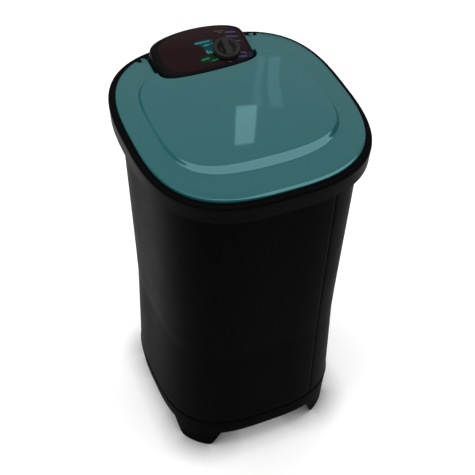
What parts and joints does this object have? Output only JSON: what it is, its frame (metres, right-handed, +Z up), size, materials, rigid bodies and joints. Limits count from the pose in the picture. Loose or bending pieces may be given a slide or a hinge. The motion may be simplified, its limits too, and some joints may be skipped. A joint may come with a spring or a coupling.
{
  "type": "semi-automatic tub washing machine",
  "caption": "Upright plastic tub washing machine: tapered cabinet, flared rim, hinged lid notched round a rear control housing with a rotary timer knob, agitator tub and belt drive.",
  "frame": {"origin": "on the floor, under the middle of the rim", "axes": "+Z up, -Y towards the user at the front, +X to the user's right"},
  "size_m": [0.451, 0.4884, 0.8435],
  "materials": {
    "cabinet_plastic": "black injection-moulded polypropylene, soft gloss",
    "housing_plastic": "black moulded plastic, gloss",
    "fascia_film": "dark printed film on a moulded panel, gloss",
    "lid_plastic": "deep teal tinted plastic, high gloss",
    "knob_plastic": "dark grey moulded plastic, satin",
    "tub_plastic": "dark grey polypropylene, satin",
    "agitator_plastic": "grey moulded plastic, satin",
    "white_plastic": "white moulded plastic, matte",
    "grey_plastic": "grey moulded plastic, matte",
    "net": "pale nylon net",
    "rubber": "black rubber, matte",
    "steel": "zinc-plated steel",
    "aluminium": "die-cast aluminium, as cast",
    "cast_metal": "grey iron and laminated steel",
    "bronze": "sintered bronze"
  },
  "bodies": {
    "cabinet": {"base_tray": "cabinet_plastic", "foot_pad_front_left": "rubber", "foot_pad_front_right": "rubber", "foot_pad_rear_left": "rubber", "foot_pad_rear_right": "rubber", "rear_shell": "cabinet_plastic", "front_shell": "cabinet_plastic", "back_cover": "cabinet_plastic", "back_cover_screw_1": "steel", "back_cover_screw_2": "steel", "back_cover_screw_3": "steel", "back_cover_screw_4": "steel", "top_rim": "cabinet_plastic", "control_housing": "housing_plastic", "control_fascia": "fascia_film", "timer_body": "white_plastic", "hinge_pin_left": "steel", "hinge_pin_right": "steel", "tub": "tub_plastic", "bearing_housing": "cast_metal", "upper_bush": "bronze", "lower_bush": "bronze", "shaft_seal": "rubber", "bearing_bolt_1": "steel", "bearing_bolt_2": "steel", "bearing_bolt_3": "steel", "bearing_bolt_4": "steel", "drive_belt": "rubber", "motor_stator": "cast_metal", "motor_upper_cap": "aluminium", "motor_lower_cap": "aluminium", "motor_bracket": "steel", "motor_bolt_1": "steel", "motor_bolt_2": "steel", "motor_bolt_3": "steel", "motor_bolt_4": "steel", "capacitor": "white_plastic", "capacitor_clip": "steel", "drain_grille": "grey_plastic", "drain_pipe": "grey_plastic", "drain_grommet": "rubber", "cord_gland": "rubber"},
    "lid": {"lid": "lid_plastic"},
    "knob": {"timer_knob": "knob_plastic", "timer_shaft": "steel"},
    "lint_filter": {"lint_filter_frame": "white_plastic", "lint_filter_net": "net"},
    "agitator": {"agitator": "agitator_plastic", "agitator_cap": "agitator_plastic", "drive_shaft": "steel", "driven_pulley": "aluminium", "pulley_bolt": "steel"},
    "rotor": {"motor_rotor": "cast_metal", "motor_shaft": "steel", "motor_pulley": "aluminium"}
  },
  "joints": [
    {"name": "lid_hinge", "type": "hinge", "parent": "cabinet", "child": "lid", "pos_m": [0, 0.205, 0.807], "axis": [-1, 0, 0], "range_deg": [0, 100]},
    {"name": "knob_turn", "type": "hinge", "parent": "cabinet", "child": "knob", "pos_m": [0.04, 0.153, 0.82681], "axis": [0, -0.184, 0.9829], "range_deg": [0, 300]},
    {"name": "filter_lift", "type": "slide", "parent": "cabinet", "child": "lint_filter", "axis": [0, 0, 1], "range_m": [0, 0.095]},
    {"name": "agitator_spin", "type": "hinge", "parent": "cabinet", "child": "agitator", "pos_m": [0, 0, 0.33], "axis": [0, 0, 1], "continuous": true},
    {"name": "motor_spin", "type": "hinge", "parent": "cabinet", "child": "rotor", "pos_m": [0.092, 0.092, 0.2], "axis": [0, 0, 1], "continuous": true}
  ],
  "couplings": [
    {"joint": "motor_spin", "follows": "agitator_spin", "ratio": 4.777}
  ]
}
